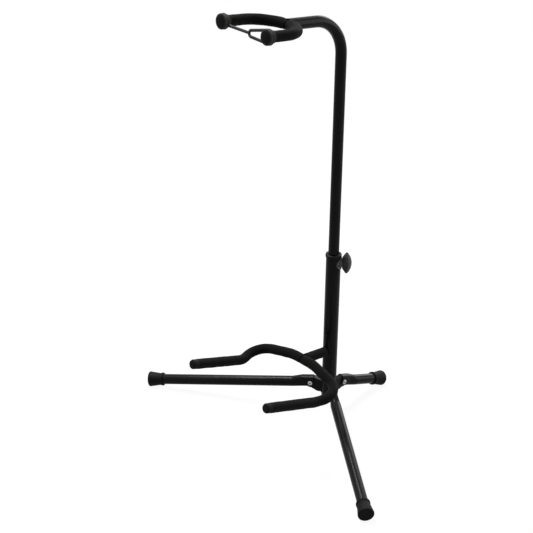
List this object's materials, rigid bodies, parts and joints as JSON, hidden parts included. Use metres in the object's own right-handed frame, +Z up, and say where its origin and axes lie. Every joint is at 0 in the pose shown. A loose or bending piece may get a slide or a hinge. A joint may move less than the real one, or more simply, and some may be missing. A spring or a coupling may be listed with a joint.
{
  "type": "guitar stand",
  "caption": "Folding tubular guitar stand with a telescopic post, padded neck yoke with strap, padded body cradle and riveted folding legs.",
  "frame": {"origin": "on the floor, under the middle of the stand's outline", "axes": "+Z up, -Y to the front, where the yoke and cradle point, +X to the right seen from the front"},
  "size_m": [0.4866, 0.3276, 0.6539],
  "materials": {
    "black_paint": "semi-gloss black stove enamel",
    "black_plastic": "satin moulded black",
    "black_rubber": "matte moulded black",
    "black_foam": "fine-celled black foam",
    "bright_steel": "bright zinc plate"
  },
  "bodies": {
    "base": {"lower_tube": "black_paint", "tube_plug": "black_plastic", "collar_bush": "black_plastic", "clamp_nut": "black_paint", "cradle_stem": "black_paint", "cradle_rod": "black_paint", "stem_foam": "black_foam", "cradle_foam_left": "black_foam", "cradle_foam_right": "black_foam", "cradle_tip_left": "black_rubber", "cradle_tip_right": "black_rubber", "bracket_left": "black_paint", "rivet_left": "bright_steel", "bracket_right": "black_paint", "rivet_right": "bright_steel", "bracket_rear": "black_paint", "rivet_rear": "bright_steel"},
    "guide": {"mast_guide": "black_plastic"},
    "mast": {"upper_tube": "black_paint", "yoke_rod": "black_paint", "yoke_foam_left": "black_foam", "yoke_foam_right": "black_foam", "yoke_cap_left": "black_rubber", "yoke_cap_right": "black_rubber", "yoke_strap": "black_rubber"},
    "pad": {"clamp_pad": "black_plastic"},
    "knob": {"clamp_knob": "black_plastic", "clamp_screw": "bright_steel"},
    "leg_left": {"leg_left": "black_paint", "foot_left": "black_rubber"},
    "leg_right": {"leg_right": "black_paint", "foot_right": "black_rubber"},
    "leg_rear": {"leg_rear": "black_paint", "foot_rear": "black_rubber"}
  },
  "joints": [
    {"name": "mast_lift", "type": "slide", "parent": "base", "child": "guide", "axis": [0, 0, 1], "range_m": [-0.054, 0.09]},
    {"name": "mast_swivel", "type": "hinge", "parent": "guide", "child": "mast", "pos_m": [0, 0.04254, 0.1], "axis": [0, 0, 1], "continuous": true},
    {"name": "clamp_travel", "type": "slide", "parent": "base", "child": "pad", "axis": [0.7071, 0.7071, 0], "range_m": [0, 0.0015]},
    {"name": "knob_turn", "type": "hinge", "parent": "pad", "child": "knob", "pos_m": [0.01032, 0.05287, 0.2534], "axis": [0.7071, 0.7071, 0], "range_deg": [0, 540]},
    {"name": "fold_left", "type": "hinge", "parent": "base", "child": "leg_left", "pos_m": [-0.02319, 0.02684, 0.04653], "axis": [0.5606, -0.8281, 0], "range_deg": [0, 82]},
    {"name": "fold_right", "type": "hinge", "parent": "base", "child": "leg_right", "pos_m": [0.02319, 0.02684, 0.04653], "axis": [0.5606, 0.8281, 0], "range_deg": [0, 82]},
    {"name": "fold_rear", "type": "hinge", "parent": "base", "child": "leg_rear", "pos_m": [0, 0.07054, 0.04077], "axis": [-1, 0, 0], "range_deg": [0, 71]}
  ],
  "couplings": [
    {"joint": "knob_turn", "follows": "clamp_travel", "rad_per_m": 6283.2}
  ]
}
